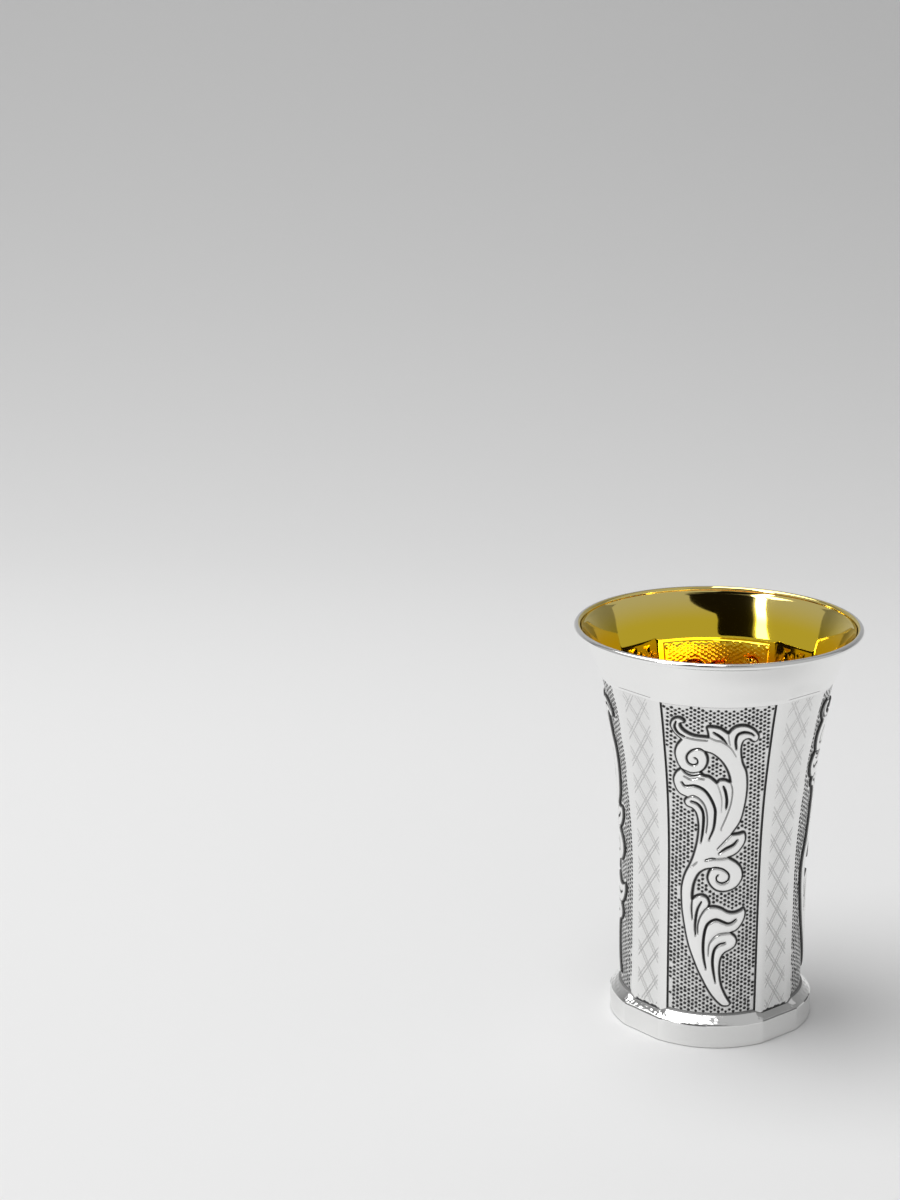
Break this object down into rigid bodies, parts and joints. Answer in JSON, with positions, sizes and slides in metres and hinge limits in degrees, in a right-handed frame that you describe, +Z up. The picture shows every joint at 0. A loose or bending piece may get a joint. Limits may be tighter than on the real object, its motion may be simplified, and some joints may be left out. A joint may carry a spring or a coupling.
{
  "type": "kiddush cup",
  "caption": "Silver goblet-sized beaker with bulged wide sides, narrow flat sides, scroll relief panels, a beaded flared rim, a gilded inside and a low foot.",
  "frame": {"origin": "middle of the foot's underside", "axes": "+Z up along the cup's axis, one wide side facing -Y"},
  "size_m": [0.066, 0.066, 0.0947],
  "materials": {
    "silver": "polished sterling silver, dark oxide left in the chased lines and pits",
    "gilding": "bright yellow gilding on the inside of the cup"
  },
  "bodies": {
    "root": {"cup": "silver"}
  },
  "joints": []
}
